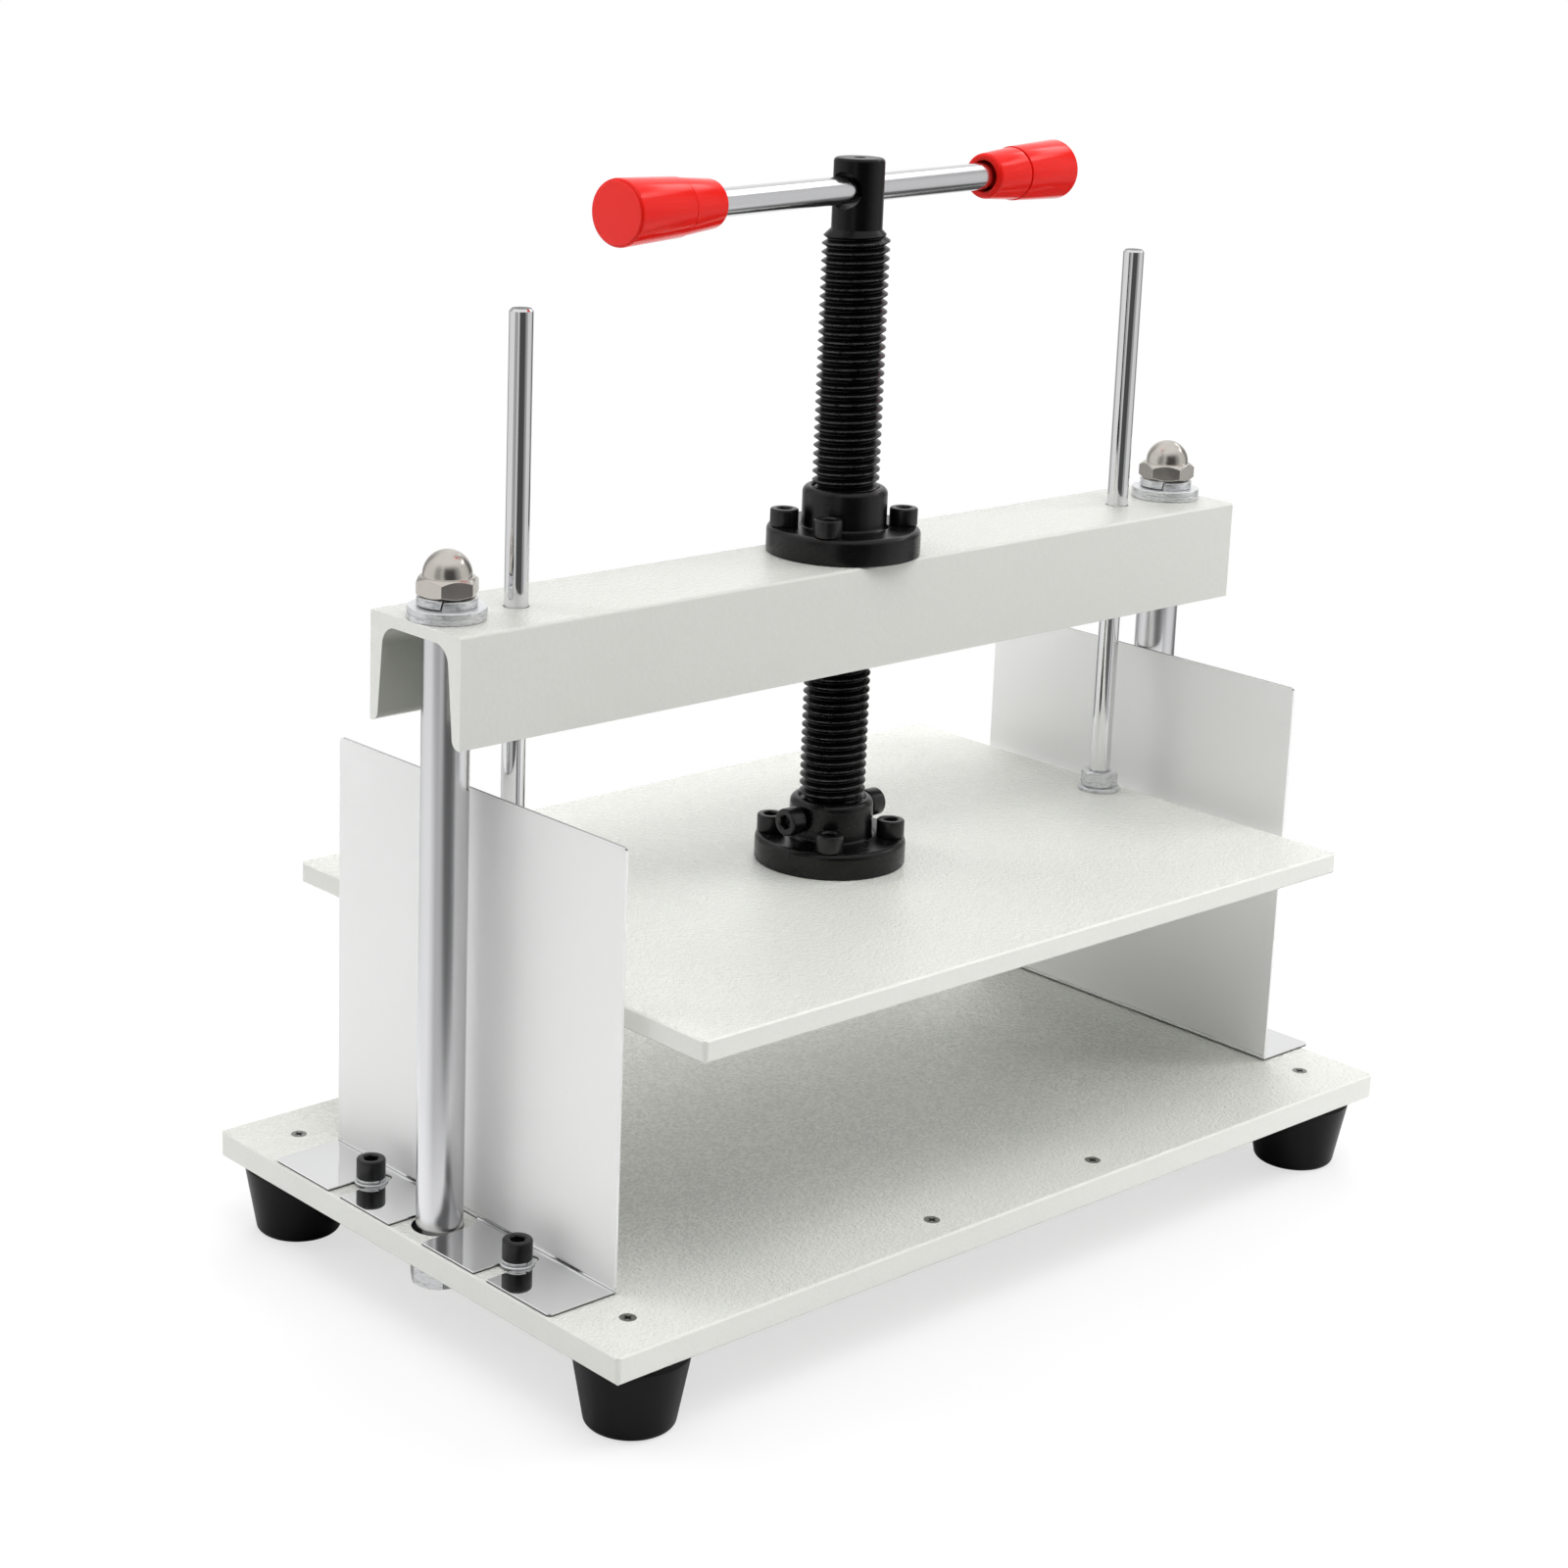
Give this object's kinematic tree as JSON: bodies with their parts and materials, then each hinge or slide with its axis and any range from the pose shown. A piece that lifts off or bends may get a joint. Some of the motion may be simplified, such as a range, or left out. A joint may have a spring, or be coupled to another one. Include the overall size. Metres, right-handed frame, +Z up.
{
  "type": "paper press",
  "caption": "Bench paper press: a screw with a T-handle drives a flat platen down onto a bed on rubber feet, under a channel beam, between two sliding side guides.",
  "frame": {"origin": "on the surface that the press stands on, below the centre of the bed plate", "axes": "+X along the beam towards the right column, -Y towards the front, +Z up along the screw"},
  "size_m": [0.4039, 0.232, 0.4037],
  "materials": {
    "coat_paint": "off-white textured powder coat, semi-gloss",
    "black_oxide": "black oxide, satin",
    "black_rubber": "matt",
    "bright_steel": "ground and brushed",
    "chrome_steel": "hard chrome, bright",
    "mirror_steel": "mirror polished stainless",
    "zinc_steel": "zinc plated",
    "nickel_plate": "nickel plated",
    "red_plastic": "gloss",
    "thrust_bronze": "turned"
  },
  "bodies": {
    "frame": {"base_plate": "coat_paint", "foot_front_left": "black_rubber", "foot_front_right": "black_rubber", "foot_back_left": "black_rubber", "foot_back_right": "black_rubber", "foot_screws": "black_oxide", "foot_washers": "zinc_steel", "foot_nuts": "zinc_steel", "front_screws": "black_oxide", "column_left": "bright_steel", "column_right": "bright_steel", "column_nuts": "zinc_steel", "top_beam": "coat_paint", "beam_washers": "zinc_steel", "beam_spring_washers": "zinc_steel", "acorn_nuts": "nickel_plate", "screw_nut": "black_oxide", "screw_nut_bolts": "black_oxide", "guide_screws": "black_oxide", "guide_washers": "zinc_steel", "guide_spring_washers": "zinc_steel"},
    "platen": {"press_platen": "coat_paint", "thrust_cup": "black_oxide", "thrust_cup_bolts": "black_oxide", "retaining_screws": "black_oxide", "thrust_washer": "thrust_bronze", "guide_rod_left": "chrome_steel", "guide_rod_right": "chrome_steel", "rod_washers": "zinc_steel", "rod_nuts": "zinc_steel"},
    "screw": {"press_screw": "black_oxide"},
    "handle": {"handle_bar": "bright_steel", "grip_left": "red_plastic", "grip_right": "red_plastic"},
    "left_guide": {"side_guide_left": "mirror_steel"},
    "right_guide": {"side_guide_right": "mirror_steel"}
  },
  "joints": [
    {"name": "platen_slide", "type": "slide", "parent": "frame", "child": "platen", "axis": [0, 0, 1], "range_m": [-0.0915, 0.065]},
    {"name": "screw_turn", "type": "hinge", "parent": "platen", "child": "screw", "pos_m": [0, 0, 0.1375], "axis": [0, 0, 1], "range_deg": [-10136, 7201]},
    {"name": "handle_slide", "type": "slide", "parent": "screw", "child": "handle", "axis": [0.9882, 0.153, 0], "range_m": [-0.0693, 0.0743]},
    {"name": "left_guide_slide", "type": "slide", "parent": "frame", "child": "left_guide", "axis": [1, 0, 0], "range_m": [-0.004, 0.005]},
    {"name": "right_guide_slide", "type": "slide", "parent": "frame", "child": "right_guide", "axis": [1, 0, 0], "range_m": [-0.009, 0]}
  ],
  "couplings": [
    {"joint": "screw_turn", "follows": "platen_slide", "rad_per_m": 1933.3}
  ]
}
